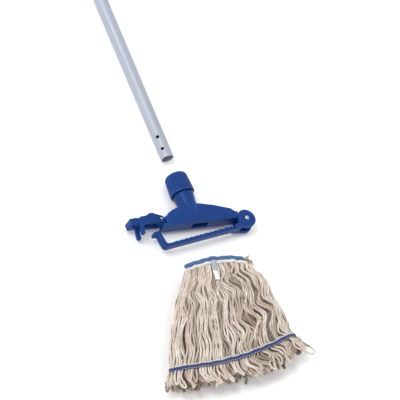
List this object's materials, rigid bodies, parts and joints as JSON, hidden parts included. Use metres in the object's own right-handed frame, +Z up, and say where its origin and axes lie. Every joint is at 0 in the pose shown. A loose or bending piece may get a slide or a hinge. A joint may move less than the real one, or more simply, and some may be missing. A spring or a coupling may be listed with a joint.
{
  "type": "string mop",
  "caption": "Looped-end string mop in three parts: a tube handle, a holder with a screw collar, hinged clamp jaw and latch, and a banded cotton head.",
  "frame": {"origin": "on the floor under the middle of the mop head's back, in line with the handle", "axes": "+Y along the handle towards its hanging cap, +X along the holder towards its hinge, +Z up from the floor that all pieces lie on"},
  "size_m": [0.346, 1.79, 0.0477],
  "materials": {
    "blue_plastic": "injection-moulded polypropylene, mid blue, satin",
    "aluminium": "anodised drawn tube, satin",
    "steel": "plated steel",
    "cotton": "plied cotton yarn, undyed",
    "white_tape": "woven tape, white",
    "navy_tape": "woven tape, navy blue",
    "blue_tape": "woven piping, mid blue",
    "grey_plastic": "moulded plastic, dark grey"
  },
  "bodies": {
    "holder": {"holder_body": "blue_plastic", "hinge_rivet": "steel", "hinge_washer": "steel", "latch_pin": "steel"},
    "handle": {"handle_tube": "aluminium", "handle_grip": "grey_plastic", "hang_cap": "grey_plastic"},
    "ring": {"grip_ring": "grey_plastic"},
    "collar": {"lock_collar": "blue_plastic"},
    "jaw": {"clamp_jaw": "blue_plastic"},
    "latch": {"latch_lever": "blue_plastic"},
    "mop_head": {"head_band": "white_tape", "head_piping": "blue_tape", "care_label": "white_tape", "tail_band_front": "navy_tape", "tail_band_back": "navy_tape", "tail_stitching": "white_tape", "strings_back_1": "cotton", "strings_back_2": "cotton", "strings_back_3": "cotton", "strings_back_4": "cotton", "strings_back_5": "cotton", "strings_back_6": "cotton", "strings_front_1": "cotton", "strings_front_2": "cotton", "strings_front_3": "cotton", "strings_front_4": "cotton", "strings_front_5": "cotton", "strings_front_6": "cotton"}
  },
  "joints": [
    {"name": "handle_slide", "type": "slide", "parent": "holder", "child": "handle", "axis": [0, -1, 0], "range_m": [0, 0.1]},
    {"name": "collar_turn", "type": "hinge", "parent": "ring", "child": "collar", "pos_m": [0, 0.29, 0.024], "axis": [0, -1, 0], "range_deg": [0, 180]},
    {"name": "ring_slide", "type": "slide", "parent": "holder", "child": "ring", "axis": [0, -1, 0], "range_m": [0, 0.00151]},
    {"name": "jaw_swing", "type": "hinge", "parent": "holder", "child": "jaw", "pos_m": [0.105, 0.197, 0.024], "axis": [0, 0, -1], "range_deg": [-90, 8.2]},
    {"name": "latch_swing", "type": "hinge", "parent": "holder", "child": "latch", "pos_m": [-0.075, 0.216, 0.024], "axis": [0, 0, 1], "range_deg": [0, 45]},
    {"name": "mop_slide", "type": "slide", "parent": "holder", "child": "mop_head", "axis": [0, 1, 0], "range_m": [0, 0.0865], "deforming": ["head_band", "head_piping"]}
  ],
  "couplings": [
    {"joint": "ring_slide", "follows": "collar_turn", "m_per_rad": 0.00047746}
  ]
}
